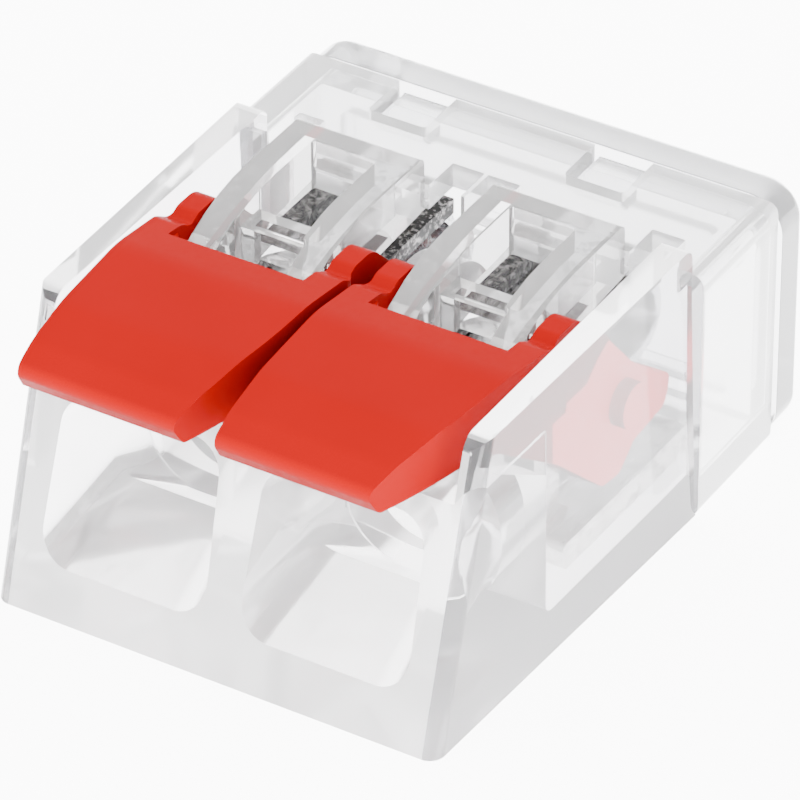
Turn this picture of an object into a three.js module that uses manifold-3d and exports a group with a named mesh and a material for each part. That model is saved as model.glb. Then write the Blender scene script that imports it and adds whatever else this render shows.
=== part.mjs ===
// Two-way lever wire connector: a clear housing with a snapped-on rear cover, two red levers, one tinned
// busbar that carries both clamp frames, and two bent clamp springs. Millimetres, +Z up. X runs across
// the ways, Y from the wire entries at the front to the rear cover, and the origin is the middle of the base.
import * as THREE from 'three';
import { ConvexGeometry } from 'three/addons/geometries/ConvexGeometry.js';
import { mergeVertices } from 'three/addons/utils/BufferGeometryUtils.js';
import Module from 'manifold-3d';

const wasm = await Module();
wasm.setup();

// ---- driving dimensions; every Y below is measured back from the front bottom edge ----
const PITCH = 5.6; // between the two ways
const WIDTH = 13.7; // over the rear shoulders
const DEPTH = 16.4;
const FRONT_HALF_WIDTH = 6.18; // front body at its front edge
const BACK_HALF_WIDTH = { base: 6.64, top: 6.36 }; // front body where it meets the shoulders
const TOP_Z = 7.8; // top of the side walls and of the humps
const SHOULDER_Z = 7.1; // top of the rear deck
const SHOULDER_Y = 11.6; // where the rear deck begins
const SEAM_Y = 15.25; // housing to rear cover
const FACE_LEAN = 2.3 / 7.8; // the front face leans back by this much per millimetre of height
const FLOOR_Z = 0.8; // top of the housing floor
const WALL_INSIDE = 5.6; // inner face of the side walls, from the middle
const REAR_INSIDE = 6.1;
const BLOCK_TOP_Z = 6.15; // top of the wire entry block, below the levers
const BLOCK_BACK_Y = 5.4;
const DECK_UNDER_Z = 6.4;

const PIVOT = { y: 9.6, z: 4.3 }; // lever axis
const LEVER_HALF_WIDTH = 2.66;
const ARM_INSIDE = 1.9; // inner face of each lever arm, from the middle of its way
const CHEEK_OUTSIDE = 2.45; // outer face of the lower cheek
const CHEEK_WIDE_RADIUS = 2.35; // outside this radius about the pivot the arm is full width
const CAM = { behind: 0.6, below: 1.2, radius: 0.22 }; // lifts the tongue's wings
const HUMP = { left: 1.84, right: 1.72, nose: { y: 9.2, z: 2.38, radius: 5.5 } };

const BAR = { front: 7.0, back: 13.0, bottom: 0.85, top: 1.6, halfLength: 5.2 };
const FRAME = { front: 7.4, back: 8.0, halfWidth: 1.8, window: 1.5, top: 5.95, lintel: 5.52 };
const RAIL = { inside: 0.9, outside: 1.78, back: 12.9 }; // arms of each frame, over the spring
const SPRING = { thickness: 0.3, halfWidth: 1.42, bend: { y: 12.6, z: 4.35, radius: 0.95 } };

const TRUNNION = 0.6;
const CLEARANCE = 0.05;
const ARC_STEP = THREE.MathUtils.degToRad(15);
const WAYS = [
  { side: 'left', x: -PITCH / 2 },
  { side: 'right', x: PITCH / 2 },
];

// ---- outlines ----
// Corners are [u, v] or [u, v, radius]; rounded corners become arcs.
function outline(corners) {
  const points = [];
  corners.forEach(([u, v, radius = 0], i) => {
    const here = new THREE.Vector2(u, v);
    if (radius === 0) {
      points.push(here);
      return;
    }
    const before = corners[(i + corners.length - 1) % corners.length];
    const after = corners[(i + 1) % corners.length];
    const toBefore = new THREE.Vector2(before[0], before[1]).sub(here).normalize();
    const toAfter = new THREE.Vector2(after[0], after[1]).sub(here).normalize();
    const half = Math.acos(toBefore.dot(toAfter)) / 2;
    const start = here.clone().addScaledVector(toBefore, radius / Math.tan(half));
    const middle = toBefore.clone().add(toAfter).normalize();
    const centre = here.clone().addScaledVector(middle, radius / Math.sin(half));
    const sweep = (Math.PI - 2 * half) * Math.sign(toAfter.cross(toBefore));
    const steps = Math.max(2, Math.ceil(Math.abs(sweep) / ARC_STEP));
    const spoke = start.sub(centre);
    for (let k = 0; k <= steps; k += 1) {
      points.push(spoke.clone().rotateAround(new THREE.Vector2(), (sweep * k) / steps).add(centre));
    }
  });
  return points;
}

// Points of an arc about [cy, cz]; angles in degrees from +Y towards +Z.
function arc(cy, cz, radius, from, to) {
  const sweep = THREE.MathUtils.degToRad(to - from);
  const steps = Math.max(2, Math.ceil(Math.abs(sweep) / ARC_STEP));
  return Array.from({ length: steps + 1 }, (_, k) => {
    const angle = THREE.MathUtils.degToRad(from) + (sweep * k) / steps;
    return [cy + radius * Math.cos(angle), cz + radius * Math.sin(angle)];
  });
}

function rectangle(u0, u1, v0, v1, radius = 0) {
  return [[u0, v0, radius], [u1, v0, radius], [u1, v1, radius], [u0, v1, radius]];
}

// ---- solids ----
function solid(geometry) {
  geometry.deleteAttribute('normal');
  geometry.deleteAttribute('uv');
  const merged = mergeVertices(geometry, 1e-4);
  return new wasm.Manifold(new wasm.Mesh({
    numProp: 3,
    vertProperties: new Float32Array(merged.attributes.position.array),
    triVerts: new Uint32Array(merged.index.array),
  }));
}

function prism(corners, length, right, up, forward, origin) {
  const shape = new THREE.Shape(outline(corners));
  const geometry = new THREE.ExtrudeGeometry(shape, { depth: length, bevelEnabled: false });
  geometry.applyMatrix4(new THREE.Matrix4().makeBasis(right, up, forward).setPosition(origin));
  return solid(geometry);
}

const X = new THREE.Vector3(1, 0, 0);
const Y = new THREE.Vector3(0, 1, 0);
const Z = new THREE.Vector3(0, 0, 1);

// Outline in (Y, Z), extruded from x0 to x1.
function prismX(corners, x0, x1) {
  return prism(corners, x1 - x0, Y, Z, X, new THREE.Vector3(x0, 0, 0));
}

// Outline in (X, Z), extruded from y0 to y1.
function prismY(corners, y0, y1) {
  return prism(corners, y1 - y0, X, Z, Y.clone().negate(), new THREE.Vector3(0, y1, 0));
}

// Outline in (X, Y), extruded from z0 to z1; lean shifts it back with height.
function prismZ(corners, z0, z1, lean = 0) {
  const forward = new THREE.Vector3(0, lean, 1);
  return prism(corners, z1 - z0, X, Y, forward, new THREE.Vector3(0, z0 * lean, z0));
}

function block(x0, x1, y0, y1, z0, z1) {
  return prismX(rectangle(y0, y1, z0, z1), x0, x1);
}

function rod(y, z, radius, x0, x1) {
  return prismX(arc(y, z, radius, 0, 345), x0, x1);
}

function hull(points) {
  return solid(new ConvexGeometry(points));
}

function union(...solids) {
  return solids.reduce((sum, next) => sum.add(next));
}

// ---- clear housing ----
const SHOULDER = { inset: 0.12, edge: 0.3 };
const FRONT_CORNER = 0.4;

// The front body leans back at its face and narrows a little towards the front and the top.
function housingOutside() {
  const side = prismX([
    [0, 0],
    [SHOULDER_Y, 0],
    [SHOULDER_Y, TOP_Z, 0.12],
    [TOP_Z * FACE_LEAN, TOP_Z, 0.45],
  ], -WIDTH / 2, WIDTH / 2);
  const level = (z, back) => outline([
    [-FRONT_HALF_WIDTH, z * FACE_LEAN, FRONT_CORNER],
    [FRONT_HALF_WIDTH, z * FACE_LEAN, FRONT_CORNER],
    [back, SHOULDER_Y + 0.1],
    [-back, SHOULDER_Y + 0.1],
  ]).map((p) => new THREE.Vector3(p.x, p.y, z));
  const front = hull([...level(0, BACK_HALF_WIDTH.base), ...level(TOP_Z, BACK_HALF_WIDTH.top)]);
  const half = WIDTH / 2 - SHOULDER.inset;
  const shoulders = prismY(rectangle(-half, half, 0, SHOULDER_Z, SHOULDER.edge), SHOULDER_Y - 0.05, SEAM_Y);
  return union(side.intersect(front), shoulders);
}

// One wire entry: a wide mouth that narrows to a round guide.
function wireEntry(x) {
  const guide = { radius: 1.65, y: 4.1, z: 3.35 };
  const mouth = { y: -0.3, half: 2.42, bottom: 1.15, top: 5.95, corner: 0.9 };
  const ring = outline(rectangle(x - mouth.half, x + mouth.half, mouth.bottom, mouth.top, mouth.corner));
  const points = ring.map((p) => new THREE.Vector3(p.x, mouth.y, p.y));
  arc(x, guide.z, guide.radius, 0, 345).forEach(([u, v]) => points.push(new THREE.Vector3(u, guide.y, v)));
  const bore = prismY(arc(x, guide.z, guide.radius, 0, 345), guide.y - 0.01, BLOCK_BACK_Y + 0.1);
  return union(hull(points), bore);
}

// The room behind the wire entries for the busbar, springs and cheeks, and the opening for the rear cover.
function housingInside() {
  const front = prismX([
    [BLOCK_BACK_Y, FLOOR_Z],
    [SHOULDER_Y + 0.5, FLOOR_Z],
    [SHOULDER_Y + 0.5, DECK_UNDER_Z],
    [SHOULDER_Y, DECK_UNDER_Z],
    [SHOULDER_Y, TOP_Z + 1],
    [BLOCK_BACK_Y, TOP_Z + 1],
  ], -WALL_INSIDE, WALL_INSIDE);
  const leverBay = block(-WALL_INSIDE, WALL_INSIDE, -1, BLOCK_BACK_Y + 0.1, BLOCK_TOP_Z, TOP_Z + 1);
  const rear = prismY(
    rectangle(-REAR_INSIDE, REAR_INSIDE, FLOOR_Z, DECK_UNDER_Z, 0.3), SHOULDER_Y + 0.4, SEAM_Y + 1,
  );
  return union(front, leverBay, rear);
}

// The raised middle of each way between the lever arms, with its arched rails, test pocket and slit.
function hump(x) {
  const { nose } = HUMP;
  const rails = arc(nose.y, nose.z, nose.radius, 130.9, 90);
  const crown = nose.z + nose.radius;
  const groove = SHOULDER_Z - 0.35;
  const body = prismX([
    [BLOCK_BACK_Y - 0.1, 5.6],
    [BLOCK_BACK_Y - 0.1, BLOCK_TOP_Z],
    [rails[0][0], BLOCK_TOP_Z],
    ...rails,
    [SHOULDER_Y, crown, 0.15],
    [SHOULDER_Y, groove],
    [SHOULDER_Y + 0.6, groove],
    [SHOULDER_Y + 0.6, DECK_UNDER_Z],
    [FRAME.front - 0.2, 6.1],
    [FRAME.front - 0.7, 5.6],
  ].reverse(), x - HUMP.left, x + HUMP.right);
  const pocket = prismZ(rectangle(x - 1, x + 0.82, 8.35, 10.85, 0.12), 6.5, TOP_Z + 1);
  const ledge = prismZ(rectangle(x - 1, x + 0.82, 7.45, 8.45), 7.3, TOP_Z + 1);
  const window = prismZ(rectangle(x - 1.05, x + 0.95, 5.75, 7.5, 0.15), 5, TOP_Z + 1);
  const slit = block(x - 0.7, x + 0.7, 7.72, 8.02, 5, TOP_Z + 1);
  return body.subtract(union(pocket, ledge, window, slit));
}

// The groove across the deck behind each hump.
function groove(x) {
  return block(x - 2.3, x + 1.3, SHOULDER_Y - 0.1, SHOULDER_Y + 0.6, DECK_UNDER_Z - 0.1, TOP_Z + 1);
}

// The web between the ways, which carries the inner trunnion of both levers.
function bearingWeb() {
  const disc = arc(PIVOT.y, PIVOT.z, 2.05, -70, 250).map(([y, z]) => [y, Math.max(z, 1.75)]);
  const tie = block(-0.3, 0.3, BLOCK_BACK_Y - 0.1, PIVOT.y - 1.6, 1.75, 4.9);
  return union(prismX(disc, -0.3, 0.3), tie).subtract(rod(PIVOT.y, PIVOT.z, TRUNNION + CLEARANCE, -1, 1));
}

// Open slots for the lever arms, cut down through the entry block and back into the rear deck.
function armSlots(x) {
  return [-1, 1].map((side) => {
    const [a, b] = [x + side * HUMP.left, x + side * (LEVER_HALF_WIDTH + 0.09)];
    const [near, far] = [Math.min(a, b), Math.max(a, b)];
    const rearRelief = block(near, far, SHOULDER_Y - 0.5, 12.75, DECK_UNDER_Z - 1, TOP_Z + 1);
    const step = prismX([[3.4, 7], [3.4, BLOCK_TOP_Z], [5.6, 4.75], [5.6, 7]], near, far);
    return union(rearRelief, step);
  });
}

// Each latch of the rear cover lies in an open window in the deck.
const LATCH = { left: 1.1, right: 0.35, front: 13.85, bottom: 5.9, top: 6.75 };

function latchWindow(x) {
  const plan = rectangle(x - LATCH.left - 0.1, x + LATCH.right + 0.1, LATCH.front - 0.12, SEAM_Y + 1);
  return prismZ(plan, LATCH.bottom - 0.1, TOP_Z);
}

function housing() {
  const cuts = WAYS.flatMap(({ x }) => [...armSlots(x), wireEntry(x), latchWindow(x)]);
  const wallSockets = rod(PIVOT.y, PIVOT.z, TRUNNION + CLEARANCE, -WALL_INSIDE - 0.3, WALL_INSIDE + 0.3);
  const grooves = WAYS.map(({ x }) => groove(x));
  const humps = WAYS.map(({ x }) => hump(x));
  const shell = housingOutside().subtract(union(housingInside(), ...grooves));
  return union(shell, ...humps).subtract(union(...cuts, wallSockets)).add(bearingWeb());
}

// ---- clear rear cover ----
function rearCover() {
  const half = WIDTH / 2;
  const corner = 0.95; // long edges, seen from the back
  const edge = 0.3; // around the back face
  const turns = [0, 22.5, 45, 67.5, 90].map((angle) => THREE.MathUtils.degToRad(angle));
  const levels = turns.map((angle) => [DEPTH - edge * (1 - Math.sin(angle)), edge * (1 - Math.cos(angle))]);
  const points = [[SEAM_Y + 0.03, 0], ...levels].flatMap(([y, inset]) => outline(
    rectangle(inset - half, half - inset, inset, SHOULDER_Z - inset, corner - inset),
  ).map((p) => new THREE.Vector3(p.x, y, p.y)));
  const wide = REAR_INSIDE - 0.05;
  const plugOut = rectangle(-wide, wide, FLOOR_Z + 0.05, DECK_UNDER_Z - 0.05, 0.25);
  const narrow = REAR_INSIDE - 0.75;
  const plugIn = rectangle(-narrow, narrow, FLOOR_Z + 0.65, DECK_UNDER_Z - 0.7, 0.25);
  const hollow = prismY(plugIn, SEAM_Y - 1, SEAM_Y + 0.03);
  const plug = prismY(plugOut, SEAM_Y - 0.65, SEAM_Y + 0.2).subtract(hollow);
  const latches = WAYS.map(({ x }) => prismX([
    [SEAM_Y + 0.2, LATCH.bottom],
    [SEAM_Y + 0.2, LATCH.top],
    [LATCH.front + 0.25, LATCH.top],
    [LATCH.front, LATCH.top - 0.25],
    [LATCH.front, LATCH.bottom + 0.3],
    [LATCH.front + 0.3, LATCH.bottom],
  ].reverse(), x - LATCH.left, x + LATCH.right));
  return union(hull(points), plug, ...latches);
}

// ---- red lever ----
// Side view of the whole arm: plate, ear over the hump's side, and the cheek down to the cam and heel.
const ARM_SIDE = [
  [0.42, 6.35, 0.15],
  [3.85, 6.35, 0.4],
  [6.6, 4.3, 1.5],
  [8.7, 2.35, 0.35],
  [9.5, 2.25, 0.3],
  [10.2, 2.8, 0.3],
  [11.7, 2.95, 0.35],
  [11.95, 3.7, 0.35],
  [10.1, 5.15, 1.2],
  [8.75, 6.75, 0.6],
  [7.9, 7.62, 0.7],
  [7.1, 7.62, 0.4],
  [6.75, 7.45, 0.2],
  [6.3, 7.72, 0.5],
  [4.6, 7.95, 3],
  [2.2, 7.75, 3],
  [0.9, 7.42, 1.6],
  [0.05, 7.0, 0.3],
];

// Plan of one lever, [from the way's middle, y]. The plate's right border curves in to its front corner, and
// the whole plate runs slightly inwards to the front. Behind the plate the arms are a little narrower.
const PLATE = { back: 6.6, halfWidth: LEVER_HALF_WIDTH, front: 1.62 };
const PLATE_LEAN = { left: 0.12, right: -0.18 }; // sideways shift of each plate's front edge

function leverPlan(side, x) {
  const border = new THREE.QuadraticBezierCurve(
    new THREE.Vector2(PLATE.halfWidth, 6),
    new THREE.Vector2(PLATE.halfWidth + 0.06, 2.9),
    new THREE.Vector2(PLATE.front, -0.1),
  );
  const plate = [
    [PLATE.halfWidth, PLATE.back],
    ...border.getPoints(8).map((p) => [p.x, p.y]),
    [-2.45, -0.1],
    [-2.61, 0.12],
    [-PLATE.halfWidth, 0.45],
    [-PLATE.halfWidth, PLATE.back],
  ].map(([u, y]) => [x + u + PLATE_LEAN[side] * (1 - y / PLATE.back), y]);
  const arms = [[-2.52, 6.9], [-2.52, 13], [2.52, 13], [2.52, 6.9]].map(([u, y]) => [x + u, y]);
  return prismZ([...plate, ...arms], 0, 9);
}

function lever(side, x) {
  const arms = prismX(ARM_SIDE, x - LEVER_HALF_WIDTH, x + LEVER_HALF_WIDTH);
  const plan = leverPlan(side, x);
  // Room between the arms: behind the plate for the hump, and below the plate.
  const gap = prismX([
    [1.3, 6.0],
    [1.3, 6.6, 0.4],
    [2.6, 6.95, 0.4],
    [5.72, 7.05],
    [5.78, 9],
    [14, 9],
    [14, 0],
    [1.3, 0],
  ].reverse(), x - ARM_INSIDE, x + ARM_INSIDE);
  // The plate carries on behind its edge as a small web beside each arm.
  const webs = [-1, 1].map((sign) => prismZ([
    [x + sign * ARM_INSIDE, 5.7],
    [x + sign * (ARM_INSIDE - 0.32), 5.7],
    [x + sign * (ARM_INSIDE - 0.02), 6.15],
    [x + sign * ARM_INSIDE, 6.15],
  ], 7.05, 7.6));
  // Below its full-width part each cheek is narrower, to clear the bearings.
  const reliefs = [-1, 1].map((sign) => {
    const ends = [x + sign * CHEEK_OUTSIDE, x + sign * (LEVER_HALF_WIDTH + 1)].sort((a, b) => a - b);
    const low = prismX([[3.9, 0], [14, 0], [14, 5.9], [3.9, 5.9]], ...ends);
    return union(low, rod(PIVOT.y, PIVOT.z, CHEEK_WIDE_RADIUS, ...ends));
  });
  const trunnions = [-1, 1].map((sign) => {
    const reach = sign * x > 0 ? 0.57 : 0.22; // into the side wall, or into the web
    const ends = [x + sign * (CHEEK_OUTSIDE - 0.1), x + sign * (CHEEK_OUTSIDE + reach)].sort((a, b) => a - b);
    return rod(PIVOT.y, PIVOT.z, TRUNNION, ...ends);
  });
  const cams = [-1, 1].map((sign) => {
    const ends = [x + sign * (SPRING.halfWidth + 0.08), x + sign * (ARM_INSIDE + 0.1)].sort((a, b) => a - b);
    return rod(PIVOT.y + CAM.behind, PIVOT.z - CAM.below, CAM.radius, ...ends);
  });
  const body = arms.intersect(plan).subtract(union(gap, ...reliefs));
  return union(body, ...webs, ...trunnions, ...cams);
}

// ---- busbar with a clamp frame for each way ----
function busbar() {
  const bar = prismX([
    [BAR.front, BAR.bottom, 0.2],
    [BAR.back, BAR.bottom, 0.2],
    [BAR.back, BAR.top, 0.2],
    [BAR.front, BAR.top, 0.2],
  ], -BAR.halfLength, BAR.halfLength);
  const frames = WAYS.map(({ x }) => {
    const plate = prismX([
      [FRAME.front, BAR.bottom + 0.1],
      [FRAME.back + 0.5, BAR.bottom + 0.1],
      [FRAME.back + 0.5, BAR.top],
      [FRAME.back, BAR.top + 0.4],
      [FRAME.back, FRAME.top, 0.1],
      [FRAME.front, FRAME.top, 0.1],
    ], x - FRAME.halfWidth, x + FRAME.halfWidth);
    const window = rectangle(x - FRAME.window, x + FRAME.window, BAR.top, FRAME.lintel, 0.15);
    const rails = [-1, 1].map((side) => {
      const [a, b] = [x + side * RAIL.inside, x + side * RAIL.outside];
      return block(Math.min(a, b), Math.max(a, b), FRAME.front + 0.2, RAIL.back, FRAME.lintel, FRAME.top);
    });
    return union(plate.subtract(prismY(window, FRAME.front - 1, FRAME.back + 1)), ...rails);
  });
  return union(bar, ...frames);
}

// ---- clamp spring: fixed leg under the frame's lintel, round the bend, and the moving tongue ----
// A strip of even thickness along a centre line of [y, z] points, squared off at its ends.
function strip(line, x0, x1) {
  const half = SPRING.thickness / 2;
  const edge = (sign) => line.map((point, i) => {
    const before = new THREE.Vector2(...(line[i - 1] ?? point));
    const after = new THREE.Vector2(...(line[i + 1] ?? point));
    const along = after.sub(before).normalize();
    return [point[0] - sign * along.y * half, point[1] + sign * along.x * half];
  });
  return prismX([...edge(-1), ...edge(1).reverse()], x0, x1);
}

function springLeg(x) {
  const { y, z, radius } = SPRING.bend;
  const hook = [FRAME.front - 0.35, z + radius - 0.32];
  const line = [hook, [FRAME.front - 0.05, z + radius], ...arc(y, z, radius, 90, 1)];
  return strip(line, x - SPRING.halfWidth, x + SPRING.halfWidth);
}

function springTongue(x) {
  const { y, z, radius } = SPRING.bend;
  const knee = [9.95, 3.55];
  const tip = [8.12, 1.83];
  const bend = arc(y, z, radius, -1, -88);
  const blade = strip([...bend, [11.2, 3.42], knee, tip], x - SPRING.halfWidth, x + SPRING.halfWidth);
  const wings = strip([[11.2, 3.42], [10.6, 3.48], knee, [8.7, 2.37]], x - 1.8, x + 1.8);
  return union(blade, wings);
}

// ---- the object ----
const finish = {
  clear: { color: 0xe6e9ec, roughness: 0.05, metalness: 0, transparent: true, opacity: 0.35 },
  red: { color: 0xe8201c, roughness: 0.35, metalness: 0 },
  tin: { color: 0xb9bcbf, roughness: 0.35, metalness: 1 },
  steel: { color: 0x9da1a6, roughness: 0.3, metalness: 1 },
};

const connector = new THREE.Group();
connector.position.y = -DEPTH / 2;

function place(name, body, look) {
  const mesh = body.getMesh();
  const geometry = new THREE.BufferGeometry();
  geometry.setAttribute('position', new THREE.BufferAttribute(new Float32Array(mesh.vertProperties), 3));
  geometry.setIndex(new THREE.BufferAttribute(new Uint32Array(mesh.triVerts), 1));
  const part = new THREE.Mesh(geometry, new THREE.MeshStandardMaterial(look));
  part.name = name;
  connector.add(part);
}

place('housing', housing(), finish.clear);
place('rear_cover', rearCover(), finish.clear);
place('busbar', busbar(), finish.tin);
for (const { side, x } of WAYS) {
  place(`lever_${side}`, lever(side, x), finish.red);
  place(`clamp_spring_${side}_leg`, springLeg(x), finish.steel);
  place(`clamp_spring_${side}_tongue`, springTongue(x), finish.steel);
}

const object = new THREE.Group();
object.add(connector);
export default object;
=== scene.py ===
import math

import bmesh
import bpy
from mathutils import Matrix, Vector


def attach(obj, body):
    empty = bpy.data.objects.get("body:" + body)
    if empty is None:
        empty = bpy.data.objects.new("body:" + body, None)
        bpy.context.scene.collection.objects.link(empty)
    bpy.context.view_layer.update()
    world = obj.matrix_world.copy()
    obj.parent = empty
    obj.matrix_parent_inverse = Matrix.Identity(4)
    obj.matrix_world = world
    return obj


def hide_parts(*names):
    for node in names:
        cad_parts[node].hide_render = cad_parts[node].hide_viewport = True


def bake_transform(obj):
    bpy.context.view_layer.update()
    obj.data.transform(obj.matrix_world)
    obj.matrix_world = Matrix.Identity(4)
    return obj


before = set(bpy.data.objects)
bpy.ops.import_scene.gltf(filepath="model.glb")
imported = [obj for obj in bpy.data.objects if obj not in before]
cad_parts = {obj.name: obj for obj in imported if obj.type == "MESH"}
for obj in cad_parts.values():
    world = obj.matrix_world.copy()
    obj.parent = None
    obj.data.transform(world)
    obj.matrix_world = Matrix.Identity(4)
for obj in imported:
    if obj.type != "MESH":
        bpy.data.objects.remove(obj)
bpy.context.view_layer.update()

MM = 0.001
DEPTH = 16.4
WIDTH = 13.7
TOP_Z = 7.8
SHOULDER_Z = 7.1
SHOULDER_Y = 11.6
SEAM_Y = 15.25
LEAN = 2.3 / 7.8
FLOOR_Z = 0.8
WALL_IN = 5.6
REAR_IN = 6.1
BLOCK_TOP = 6.15
BLOCK_BACK = 5.4
DECK_UNDER = 6.4
PIVOT = (9.6, 4.3)
WAYS = (("left", -2.8), ("right", 2.8))
HUMP_LEFT = 1.84
TRUNNION = 0.6
SOCKET = 0.65
ARM_OUT = 2.66
PLATE_LEAN = {"left": 0.12, "right": -0.18}
CHEEK_OUT = 2.45
CHEEK_GLOW_Y = 6.4
STEP = math.radians(7)


# ---------- outlines ----------
def outline(corners):
    """Corners (u, v) or (u, v, radius); rounded corners become arcs."""
    pts = []
    n = len(corners)
    for i, c in enumerate(corners):
        here = Vector(c[:2])
        r = c[2] if len(c) > 2 else 0
        if not r:
            pts.append(here)
            continue
        to_a = (Vector(corners[i - 1][:2]) - here).normalized()
        to_b = (Vector(corners[(i + 1) % n][:2]) - here).normalized()
        half = math.acos(max(-1, min(1, to_a.dot(to_b)))) / 2
        start = here + to_a * (r / math.tan(half))
        centre = here + (to_a + to_b).normalized() * (r / math.sin(half))
        cross = to_b.x * to_a.y - to_b.y * to_a.x
        sweep = (math.pi - 2 * half) * (1 if cross > 0 else -1)
        steps = max(2, math.ceil(abs(sweep) / STEP))
        spoke = start - centre
        for k in range(steps + 1):
            a = sweep * k / steps
            pts.append(centre + Vector((spoke.x * math.cos(a) - spoke.y * math.sin(a),
                                        spoke.x * math.sin(a) + spoke.y * math.cos(a))))
    return pts


def arc(cy, cz, r, a0, a1):
    steps = max(2, math.ceil(abs(math.radians(a1 - a0)) / STEP))
    angles = [math.radians(a0 + (a1 - a0) * k / steps) for k in range(steps + 1)]
    return [(cy + r * math.cos(a), cz + r * math.sin(a)) for a in angles]


def circle(cy, cz, r):
    return arc(cy, cz, r, 0, 360)[:-1]


def rect(u0, u1, v0, v1, r=0):
    return [(u0, v0, r), (u1, v0, r), (u1, v1, r), (u0, v1, r)]


def new_object(name, bm):
    bmesh.ops.recalc_face_normals(bm, faces=bm.faces)
    mesh = bpy.data.meshes.new(name)
    bm.to_mesh(mesh)
    bm.free()
    obj = bpy.data.objects.new(name, mesh)
    bpy.context.scene.collection.objects.link(obj)
    return obj


def loft(rings):
    """Closed solid through rings of 3-D points, all of the same count."""
    bm = bmesh.new()
    rows = [[bm.verts.new(p) for p in ring] for ring in rings]
    n = len(rows[0])
    for a, b in zip(rows, rows[1:]):
        for i in range(n):
            bm.faces.new((a[i], a[(i + 1) % n], b[(i + 1) % n], b[i]))
    bm.faces.new(rows[0])
    bm.faces.new(list(reversed(rows[-1])))
    return new_object("loft", bm)


def prism_x(corners, x0, x1):
    pts = outline(corners)
    return loft([[(x, p.x, p.y) for p in pts] for x in (x0, x1)])


def prism_y(corners, y0, y1):
    pts = outline(corners)
    return loft([[(p.x, y, p.y) for p in pts] for y in (y0, y1)])


def prism_z(corners, z0, z1):
    pts = outline(corners)
    return loft([[(p.x, p.y, z) for p in pts] for z in (z0, z1)])


def block(x0, x1, y0, y1, z0, z1):
    return prism_x(rect(y0, y1, z0, z1), x0, x1)


def rod(y, z, r, x0, x1):
    return prism_x(circle(y, z, r), x0, x1)


def hull(points):
    bm = bmesh.new()
    for p in points:
        bm.verts.new(p)
    out = bmesh.ops.convex_hull(bm, input=bm.verts)
    unused = out["geom_interior"] + out["geom_unused"]
    loose = [g for g in unused if isinstance(g, bmesh.types.BMVert)]
    bmesh.ops.delete(bm, geom=list(set(loose)), context="VERTS")
    bmesh.ops.dissolve_limit(bm, angle_limit=math.radians(0.3), verts=bm.verts, edges=bm.edges)
    return new_object("hull", bm)


def apply_modifiers(obj):
    deps = bpy.context.evaluated_depsgraph_get()
    mesh = bpy.data.meshes.new_from_object(obj.evaluated_get(deps))
    obj.modifiers.clear()
    obj.data = mesh
    return obj


def combine(target, op, *tools):
    for tool in tools:
        mod = target.modifiers.new("b", "BOOLEAN")
        mod.operation = op
        mod.solver = "EXACT"
        mod.object = tool
        apply_modifiers(target)
        bpy.data.objects.remove(tool)
    return target


def cut(target, *tools):
    return combine(target, "DIFFERENCE", *tools)


def join(target, *tools):
    return combine(target, "UNION", *tools)


def finish(obj, name, bevel, material, body, nodes, segments=3, angle=28, split_y=None):
    bm = bmesh.new()
    bm.from_mesh(obj.data)
    bmesh.ops.remove_doubles(bm, verts=bm.verts, dist=0.002)
    bmesh.ops.dissolve_limit(bm, angle_limit=math.radians(0.5), verts=bm.verts, edges=bm.edges)
    if split_y:
        geom = bm.verts[:] + bm.edges[:] + bm.faces[:]
        bmesh.ops.bisect_plane(bm, geom=geom, plane_co=(0, split_y, 0), plane_no=(0, 1, 0))
    bm.to_mesh(obj.data)
    bm.free()
    if bevel:
        mod = obj.modifiers.new("bevel", "BEVEL")
        mod.width = bevel
        mod.segments = segments
        mod.limit_method = "ANGLE"
        mod.angle_limit = math.radians(angle)
        mod.use_clamp_overlap = True
        mod.miter_outer = "MITER_ARC"
    apply_modifiers(obj)
    obj.data.shade_smooth()
    obj.data.set_sharp_from_angle(angle=math.radians(50))
    weighted = obj.modifiers.new("normals", "WEIGHTED_NORMAL")
    weighted.keep_sharp = True
    weighted.weight = 80
    apply_modifiers(obj)
    return place(obj, name, material, body, nodes)


def place(obj, name, material, body, nodes):
    obj.data.transform(Matrix.Scale(MM, 4) @ Matrix.Translation((0, -DEPTH / 2, 0)))
    obj.name = name
    obj.data.name = name
    obj.data.materials.clear()
    obj.data.materials.append(material)
    for p in obj.data.polygons:
        p.material_index = 0
    if nodes:
        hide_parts(*nodes)
    if body:
        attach(obj, body)
    return obj


# ---------- materials ----------
def material(name):
    m = bpy.data.materials.new(name)
    m.use_nodes = True
    nt = m.node_tree
    return m, nt, nt.nodes["Principled BSDF"]


def noise(nt, scale, detail=3.0, rough=0.55, stretch=(1, 1, 1), distortion=0.0):
    coord = nt.nodes.new("ShaderNodeTexCoord")
    mapping = nt.nodes.new("ShaderNodeMapping")
    mapping.inputs["Scale"].default_value = stretch
    tex = nt.nodes.new("ShaderNodeTexNoise")
    tex.inputs["Scale"].default_value = scale
    tex.inputs["Detail"].default_value = detail
    tex.inputs["Roughness"].default_value = rough
    tex.inputs["Distortion"].default_value = distortion
    nt.links.new(coord.outputs["Object"], mapping.inputs["Vector"])
    nt.links.new(mapping.outputs["Vector"], tex.inputs["Vector"])
    return tex.outputs["Fac"]


def ramp(nt, fac, stops):
    node = nt.nodes.new("ShaderNodeValToRGB")
    els = node.color_ramp.elements
    while len(els) < len(stops):
        els.new(0.5)
    for el, (pos, col) in zip(els, stops):
        el.position = pos
        el.color = col if len(col) == 4 else (*col, 1)
    nt.links.new(fac, node.inputs["Fac"])
    return node.outputs["Color"]


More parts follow.
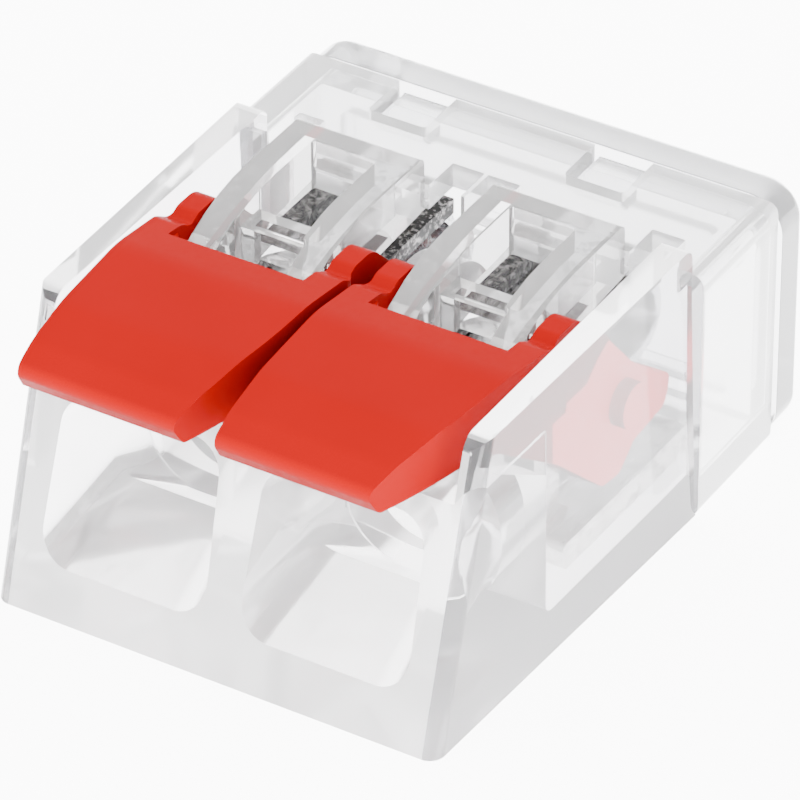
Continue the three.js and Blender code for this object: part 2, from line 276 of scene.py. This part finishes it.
def bump(nt, bsdf, *layers):
    """Each layer is (height output, distance in millimetres, strength)."""
    last = None
    for height, distance, strength in layers:
        node = nt.nodes.new("ShaderNodeBump")
        node.inputs["Strength"].default_value = strength
        node.inputs["Distance"].default_value = distance * MM
        nt.links.new(height, node.inputs["Height"])
        if last:
            nt.links.new(last, node.inputs["Normal"])
        last = node.outputs["Normal"]
    nt.links.new(last, bsdf.inputs["Normal"])


def split_z(nt, vector, low, high):
    split = nt.nodes.new("ShaderNodeSeparateXYZ")
    span = nt.nodes.new("ShaderNodeMapRange")
    span.inputs["From Min"].default_value = low
    span.inputs["From Max"].default_value = high
    nt.links.new(vector, split.inputs[0])
    nt.links.new(split.outputs["Z"], span.inputs["Value"])
    return span.outputs["Result"]


def clear_plastic(name, transmission, roughness, tint, ior=1.56, ripple=0.25):
    m, nt, b = material(name)
    b.inputs["Transmission Weight"].default_value = transmission
    b.inputs["IOR"].default_value = ior
    b.inputs["Roughness"].default_value = roughness
    clouds = noise(nt, 260, 3)
    lo = tuple(v * 0.965 for v in tint)
    nt.links.new(ramp(nt, clouds, [(0.3, lo), (0.7, tint)]), b.inputs["Base Color"])
    bump(nt, b, (noise(nt, 420, 2), 0.02, ripple), (noise(nt, 2600, 2), 0.004, ripple * 0.8))
    return m


def red_plastic():
    m, nt, b = material("lever_red")
    grain = noise(nt, 5200, 4)
    patch = noise(nt, 300, 3)
    b.inputs["Specular IOR Level"].default_value = 0.02
    coord = nt.nodes.new("ShaderNodeTexCoord")
    height = split_z(nt, coord.outputs["Object"], 5.5 * MM, 8.0 * MM)
    # Painted light: the red is lighter (0.42) below about z 6 mm than on the plate (0.27), a
    # brightening that stands in for light the parts under the deck and clear walls don't get.
    brightened_below, plate = (0.42, 0.0022, 0.0022), (0.27, 0.0007, 0.0007)
    base = ramp(nt, height, [(0.1, brightened_below), (0.3, plate), (0.82, plate)])
    # Painted shade: faces that point down are darkened most and upright faces less, standing in for
    # the shade under the lever.
    facing_shade = split_z(nt, nt.nodes.new("ShaderNodeNewGeometry").outputs["Normal"], -1, 1)
    for fac, stops in ((patch, [(0.25, (0.93,) * 3), (0.75, (1.0,) * 3)]),
                       (facing_shade, [(0.1, (0.3,) * 3), (0.5, (0.78,) * 3), (0.8, (1.0,) * 3)])):
        mix = nt.nodes.new("ShaderNodeMix")
        mix.data_type = "RGBA"
        mix.blend_type = "MULTIPLY"
        mix.inputs[0].default_value = 1.0
        nt.links.new(base, mix.inputs[6])
        nt.links.new(ramp(nt, fac, stops), mix.inputs[7])
        base = mix.outputs[2]
    nt.links.new(base, b.inputs["Base Color"])
    nt.links.new(ramp(nt, grain, [(0.3, (0.36,) * 3), (0.8, (0.50,) * 3)]), b.inputs["Roughness"])
    bump(nt, b, (grain, 0.004, 0.35), (patch, 0.02, 0.25))
    return m


def red_cheek():
    """An emission makes up for the light that doesn't reach the cheeks through the clear walls."""
    m, nt, b = material("lever_red_cheek")
    tone = ramp(nt, noise(nt, 300, 3), [(0.3, (0.56, 0.003, 0.004)), (0.7, (0.62, 0.004, 0.005))])
    nt.links.new(tone, b.inputs["Base Color"])
    b.inputs["Roughness"].default_value = 0.5
    b.inputs["Emission Color"].default_value = (1.0, 0.05, 0.06, 1)
    b.inputs["Emission Strength"].default_value = 2.0
    return m


def metal(name, colour, rough, stretch, spot_scale=2600, spot_share=0.4, spot_tone=0.45):
    m, nt, b = material(name)
    b.inputs["Metallic"].default_value = 1.0
    brush = noise(nt, 1800, 4, 0.7, stretch)
    spots = noise(nt, spot_scale, 3, 0.7)
    dark = tuple(v * spot_tone for v in colour)
    speckle = ramp(nt, spots, [(spot_share - 0.03, dark), (spot_share + 0.12, colour)])
    streaks = ramp(nt, brush, [(0.3, (rough * 0.7,) * 3), (0.8, (rough * 1.5,) * 3)])
    nt.links.new(speckle, b.inputs["Base Color"])
    nt.links.new(streaks, b.inputs["Roughness"])
    bump(nt, b, (brush, 0.012, 0.5), (spots, 0.01, 0.4))
    return m


CLEAR = clear_plastic("clear_housing", 0.76, 0.11, (0.985, 0.985, 0.99))
CRISP = clear_plastic("clear_hump", 0.82, 0.015, (0.99, 0.98, 0.98), 1.45, 0.12)
POCKET = clear_plastic("clear_pocket", 1.0, 0.005, (0.99, 0.985, 0.985), 1.2, 0.05)
WALL = clear_plastic("clear_side_wall", 0.98, 0.04, (0.70, 0.695, 0.715), 1.28, 0.15)
ENTRY = clear_plastic("clear_wire_entry", 0.74, 0.14, (0.95, 0.94, 0.945))
COVER = clear_plastic("clear_cover", 0.90, 0.10, (0.80, 0.80, 0.815))
RED = red_plastic()
RED_CHEEK = red_cheek()
TIN = metal("tinned_busbar", (0.80, 0.79, 0.77), 0.26, (1, 0.12, 1))
SPECKLED = metal("tin_speckled", (0.30, 0.285, 0.28), 0.4, (1, 0.3, 1), 5200, 0.52, 0.06)
STEEL = metal("spring_steel", (0.66, 0.665, 0.68), 0.22, (1, 0.1, 1))


# ---------- clear housing ----------
def level(z, back):
    front, corner, rear = 6.18, 0.4, SHOULDER_Y + 0.1
    lean = z * LEAN
    pts = outline([(-front, lean, corner), (front, lean, corner), (back, rear), (-back, rear)])
    return [(p.x, p.y, z) for p in pts]


def housing_outside():
    profile = [(0, 0), (SHOULDER_Y, 0), (SHOULDER_Y, TOP_Z, 0.25), (TOP_Z * LEAN, TOP_Z, 0.5)]
    side = prism_x(profile, -7, 7)
    front = hull(level(0, 6.64) + level(TOP_Z, 6.36))
    body = combine(side, "INTERSECT", front)
    half = WIDTH / 2 - 0.12
    return join(body, prism_y(rect(-half, half, 0, SHOULDER_Z, 0.3), SHOULDER_Y - 0.05, SEAM_Y))


def wire_entry(x):
    """A wide mouth with flat ramps, a square throat and a round guide."""
    rings = []
    sections = ((-0.4, 2.46, 1.05, 6.0, 0.9),
                (3.2, 1.98, 2.35, 5.35, 0.75),
                (4.3, 1.7, 1.72, 4.95, 1.55))
    for y, half, low, high, r in sections:
        ring = outline(rect(x - half, x + half, low, high, r))
        rings.append([(p.x, y, p.y) for p in ring])
    guide = prism_y(circle(x, 3.35, 1.65), 4.2, BLOCK_BACK + 0.1)
    return loft(rings), guide


def housing_inside():
    rear, above = SHOULDER_Y + 0.5, TOP_Z + 1
    side = [(BLOCK_BACK, FLOOR_Z, 0.25), (rear, FLOOR_Z), (rear, DECK_UNDER),
            (SHOULDER_Y, DECK_UNDER), (SHOULDER_Y, above), (BLOCK_BACK, above)]
    front = prism_x(side, -WALL_IN, WALL_IN)
    bay = block(-WALL_IN, WALL_IN, -1, BLOCK_BACK + 0.1, BLOCK_TOP, TOP_Z + 1)
    chamber = prism_y(rect(-REAR_IN, REAR_IN, FLOOR_Z, DECK_UNDER, 0.3), SHOULDER_Y + 0.4, SEAM_Y + 1)
    return join(front, bay, chamber)


def hump(x):
    """Two arched rails with the test pocket between them."""
    nose = arc(9.2, 2.38, 5.5, 130.9, 90)
    front, rear, step = BLOCK_BACK - 0.1, SHOULDER_Y + 0.6, SHOULDER_Z - 0.35
    side = [(front, 5.6), (front, BLOCK_TOP), (nose[0][0], BLOCK_TOP), *nose,
            (SHOULDER_Y, nose[-1][1], 0.2), (SHOULDER_Y, step), (rear, step), (rear, DECK_UNDER),
            (7.2, 6.1), (6.7, 5.6)]
    body = prism_x(side, x - HUMP_LEFT, x + 1.72)
    pocket = prism_z(rect(x - 1.0, x + 0.82, 8.35, 10.85, 0.12), 6.5, TOP_Z + 1)
    ledge = prism_z(rect(x - 1.0, x + 0.82, 7.45, 8.45, 0.08), 7.3, TOP_Z + 1)
    window = prism_z(rect(x - 1.05, x + 0.95, 5.75, 7.5, 0.15), 5, TOP_Z + 1)
    slit = block(x - 0.7, x + 0.7, 7.72, 8.02, 5, TOP_Z + 1)
    return cut(body, pocket, ledge, window, slit)


def bearings():
    disc = [(y, max(z, 1.75)) for y, z in arc(*PIVOT, 2.05, -70, 250)]
    web = prism_x(disc, -0.3, 0.3)
    tie = block(-0.3, 0.3, BLOCK_BACK - 0.1, PIVOT[0] - 1.6, 1.75, 4.9)
    return cut(join(web, tie), rod(*PIVOT, SOCKET, -1, 1))


def arm_slots(x):
    tools = []
    for s in (-1, 1):
        near, far = sorted((x + s * HUMP_LEFT, x + s * 2.75))
        tools.append(block(near, far, SHOULDER_Y - 0.5, 12.75, DECK_UNDER - 1, TOP_Z + 1))
        tools.append(prism_x([(3.4, 7), (3.4, BLOCK_TOP), (5.6, 4.75), (5.6, 7)], near, far))
    return tools


def housing():
    body = cut(housing_outside(), housing_inside())
    for _, x in WAYS:
        groove = block(x - 2.3, x + 1.3, SHOULDER_Y - 0.1, SHOULDER_Y + 0.6,
                       DECK_UNDER - 0.1, TOP_Z + 1)
        body = join(cut(body, groove), hump(x))
        body = cut(body, *arm_slots(x), *wire_entry(x))
        body = cut(body, prism_z(rect(x - 1.2, x + 0.45, 13.73, SEAM_Y + 1, 0.1), 5.8, TOP_Z))
    body = join(body, bearings())
    obj = finish(body, "housing_shell", 0.07, CLEAR, "shell", ["housing"])
    crisp, wall, entry, pocket = 1, 2, 3, 4
    for extra in (CRISP, WALL, ENTRY, POCKET):
        obj.data.materials.append(extra)
    for face in obj.data.polygons:
        x, y, z = face.center / MM
        y += DEPTH / 2
        on_hump = min(abs(x - way) for _, way in WAYS) < 1.9 and 5.4 < y < SHOULDER_Y + 0.05
        if on_hump and z > 5.5:
            face.material_index = pocket if z < 6.75 else crisp
        elif abs(x) > 5.55 and y < SHOULDER_Y and z < 7.7:
            face.material_index = wall
        elif y < 5.6 and z < 6.3:
            face.material_index = entry
    return obj


# ---------- rear cover ----------
def rear_cover():
    half = WIDTH / 2
    edge = 0.3
    turns = [math.radians(18 * k) for k in range(6)]
    levels = [(SEAM_Y + 0.04, 0)]
    levels += [(DEPTH - edge * (1 - math.sin(a)), edge * (1 - math.cos(a))) for a in turns]
    rings = []
    for y, i in levels:
        ring = outline(rect(-half + i, half - i, i, SHOULDER_Z - i, 0.95 - i))
        rings.append([(p.x, y, p.y) for p in ring])
    body = loft(rings)
    root = SEAM_Y + 0.2
    plug = prism_y(rect(-6.05, 6.05, FLOOR_Z + 0.05, DECK_UNDER - 0.05, 0.25), SEAM_Y - 0.65, root)
    hollow = rect(-5.35, 5.35, FLOOR_Z + 0.65, DECK_UNDER - 0.7, 0.25)
    plug = cut(plug, prism_y(hollow, SEAM_Y - 1, SEAM_Y + 0.05))
    latch = [(root, 5.9), (14.15, 5.9), (13.85, 6.2),
             (13.85, 6.5, 0.1), (14.1, 6.75, 0.1), (root, 6.75)]
    latches = [prism_x(latch, x - 1.1, x + 0.35) for _, x in WAYS]
    body = join(body, plug, *latches)
    return finish(body, "rear_cover_shell", 0.05, COVER, "shell", ["rear_cover"])


# ---------- levers ----------
ARM_SIDE = [
    (0.42, 6.35, 0.15), (3.85, 6.35, 0.4), (6.6, 4.3, 1.5), (8.7, 2.35, 0.35),
    (9.5, 2.25, 0.3), (10.2, 2.8, 0.3), (11.7, 2.95, 0.35), (11.95, 3.7, 0.35),
    (10.1, 5.15, 1.2), (8.75, 6.75, 0.6), (7.9, 7.62, 0.7), (7.1, 7.62, 0.4),
    (6.75, 7.45, 0.2), (6.3, 7.72, 0.5), (4.6, 7.95, 3), (2.2, 7.75, 3),
    (0.9, 7.42, 1.6), (0.05, 7.0, 0.3),
]


def lever_plan(side, x):
    """The right border curves in to its front corner; the plate leans sideways to the front."""
    back = 6.6
    p0, p1, p2 = Vector((ARM_OUT, 6.0)), Vector((2.72, 2.9)), Vector((1.62, -0.1))
    turns = [k / 20 for k in range(21)]
    border = [p0 * (1 - t) ** 2 + p1 * 2 * t * (1 - t) + p2 * t * t for t in turns]
    left = [(-2.45, -0.1), (-2.57, 0.0), (-2.64, 0.15), (-ARM_OUT, 0.45), (-ARM_OUT, back)]
    plate = [(ARM_OUT, back)] + [tuple(p) for p in border] + left
    plate = [(x + u + PLATE_LEAN[side] * (1 - v / back), v) for u, v in plate]
    arms = [(x + u, v) for u, v in ((-2.52, 6.9), (-2.52, 13), (2.52, 13), (2.52, 6.9))]
    return prism_z(plate + arms, 0, 9)


def lever(side, x):
    arms = prism_x(ARM_SIDE, x - ARM_OUT, x + ARM_OUT)
    plan = lever_plan(side, x)
    under = [(1.3, 6.0), (1.3, 6.6, 0.4), (2.6, 6.95, 0.4), (5.72, 7.05),
             (5.78, 9), (14, 9), (14, 0), (1.3, 0)]
    gap = prism_x(under, x - 1.9, x + 1.9)
    body = combine(arms, "INTERSECT", plan)
    body = cut(body, gap)
    for s in (-1, 1):
        near, far = sorted((x + s * CHEEK_OUT, x + s * 3.66))
        body = cut(body, block(near, far, 3.9, 14, 0, 5.9), rod(*PIVOT, 2.35, near, far))
        corners = [(1.95, 5.6), (1.58, 5.6), (1.88, 6.15), (1.95, 6.15)]
        web = prism_z([(x + s * u, v) for u, v in corners], 7.05, 7.6)
        near, far = sorted((x + s * 2.35, x + s * (2.67 if (s > 0) != (x > 0) else 2.78)))
        trunnion = rod(*PIVOT, TRUNNION, near, far)
        near, far = sorted((x + s * 1.5, x + s * 2.0))
        cam = rod(PIVOT[0] + 0.6, PIVOT[1] - 1.2, 0.22, near, far)
        body = join(body, web, trunnion, cam)
    obj = finish(body, f"lever_{side}_moulding", 0.13, RED, f"{side}_lever",
                 [f"lever_{side}"], 4, 30, CHEEK_GLOW_Y)
    # Painted light: cheek faces deep under the clear walls take the glowing red, which stands in for
    # light that doesn't reach them.
    cheek = 1
    obj.data.materials.append(RED_CHEEK)
    for face in obj.data.polygons:
        px, py, pz = face.center / MM
        outer = px - x if x > 0 else x - px
        deep = py + DEPTH / 2 > CHEEK_GLOW_Y and pz < 5.85
        if 2.38 < outer < 2.8 and deep and abs(face.normal.x) > 0.9:
            face.material_index = cheek
    return obj


# ---------- busbar ----------
def busbar():
    body = prism_x(rect(7.0, 13.0, 0.85, 1.6, 0.2), -5.2, 5.2)
    for _, x in WAYS:
        foot = [(7.4, 0.95), (8.5, 0.95), (8.5, 1.6), (8.0, 2.0),
                (8.0, 6.0, 0.1), (7.4, 6.0, 0.1)]
        plate = prism_x(foot, x - 1.8, x + 1.8)
        plate = cut(plate, prism_y(rect(x - 1.5, x + 1.5, 1.6, 5.5, 0.15), 6, 9))
        rails = [block(*sorted((x + s * 0.9, x + s * 1.78)), 7.6, 12.9, 5.52, 5.95) for s in (-1, 1)]
        body = join(body, plate, *rails)
    obj = finish(body, "busbar_strip", 0.05, TIN, "shell", ["busbar"], 2)
    speckled = 1
    obj.data.materials.append(SPECKLED)
    for face in obj.data.polygons:
        if face.center.z > 5.4 * MM and face.center.y > (8.1 - DEPTH / 2) * MM:
            face.material_index = speckled
    return obj


# ---------- clamp springs ----------
def spring(side, x):
    """One continuous strip: fixed leg, bend and tongue, with wings for the lever's cams."""
    by, bz, r = 12.6, 4.35, 0.95
    line = [(7.05, bz + r - 0.32), (7.35, bz + r), (9, bz + r), (11, bz + r)]
    line += arc(by, bz, r, 90, -88)
    line += [(11.9, 3.41), (11.2, 3.42), (10.6, 3.47), (9.95, 3.55),
             (9.4, 3.03), (8.7, 2.37), (8.12, 1.83)]
    half_t = 0.15
    edge = 0.04
    rings = []
    for i, p in enumerate(line):
        a, b = Vector(line[max(i - 1, 0)]), Vector(line[min(i + 1, len(line) - 1)])
        along = (b - a).normalized()
        n = Vector((-along.y, along.x)) * half_t
        winged = 8.6 < p[0] < 11.3 and p[1] < 4
        w = 1.8 if winged else 1.42
        m = n * (1 - edge / half_t)
        sec = [(-w, m), (-w + edge, n), (w - edge, n), (w, m),
               (w, -m), (w - edge, -n), (-w + edge, -n), (-w, -m)]
        rings.append([(x + u, p[0] + v.x, p[1] + v.y) for u, v in sec])
    body = loft(rings)
    nodes = [f"clamp_spring_{side}_leg", f"clamp_spring_{side}_tongue"]
    obj = finish(body, f"clamp_spring_{side}_strip", 0, STEEL, None, nodes)
    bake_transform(obj)
    return obj


housing()
rear_cover()
busbar()
for side, x in WAYS:
    lever(side, x)
    spring(side, x)


# ---------- stage ----------
def stage():
    bm = bmesh.new()
    bmesh.ops.create_grid(bm, x_segments=8, y_segments=8, size=0.4)
    floor = new_object("floor", bm)
    floor.location.z = -0.00002
    m, nt, b = material("floor_white")
    b.inputs["Base Color"].default_value = (0.9, 0.9, 0.9, 1)
    b.inputs["Roughness"].default_value = 0.9
    b.inputs["Emission Color"].default_value = (1, 1, 1, 1)
    b.inputs["Emission Strength"].default_value = 8.0
    floor.data.materials.append(m)


def area(name, loc, size, power, target=(0, 0, 0.004)):
    data = bpy.data.lights.new(name, "AREA")
    data.shape = "RECTANGLE"
    data.size, data.size_y = size
    data.energy = power
    obj = bpy.data.objects.new(name, data)
    bpy.context.scene.collection.objects.link(obj)
    obj.location = loc
    obj.rotation_euler = (Vector(target) - Vector(loc)).to_track_quat("-Z", "Y").to_euler()


stage()
area("key", (0.03, -0.03, 0.16), (0.18, 0.18), 0.10)
area("fill", (-0.14, -0.06, 0.06), (0.10, 0.10), 0.03)

world = bpy.data.worlds.new("studio")
bpy.context.scene.world = world
world.use_nodes = True
world.node_tree.nodes["Background"].inputs["Color"].default_value = (1, 1, 1, 1)
world.node_tree.nodes["Background"].inputs["Strength"].default_value = 3.5


# ---------- camera, fitted to the object's outline ----------
def camera():
    az, el, roll = math.radians(31.359), math.radians(35.686), math.radians(-0.266)
    back = Vector((math.sin(az) * math.cos(el), -math.cos(az) * math.cos(el), math.sin(el)))
    side = Vector((math.cos(az), math.sin(az), 0))
    up = back.cross(side)
    r = side * math.cos(roll) + up * math.sin(roll)
    u = up * math.cos(roll) - side * math.sin(roll)
    centre = Vector((0, 9 - DEPTH / 2, 4)) - r * 0.184 - u * 1.111
    data = bpy.data.cameras.new("camera")
    data.lens = 41.226 * 159.14 / 800 * 36
    data.sensor_width = 36
    data.clip_start = 0.001
    obj = bpy.data.objects.new("camera", data)
    bpy.context.scene.collection.objects.link(obj)
    rot = Matrix((r, u, back)).transposed()
    obj.matrix_world = Matrix.Translation((centre + back * 159.14) * MM) @ rot.to_4x4()
    bpy.context.scene.camera = obj


camera()
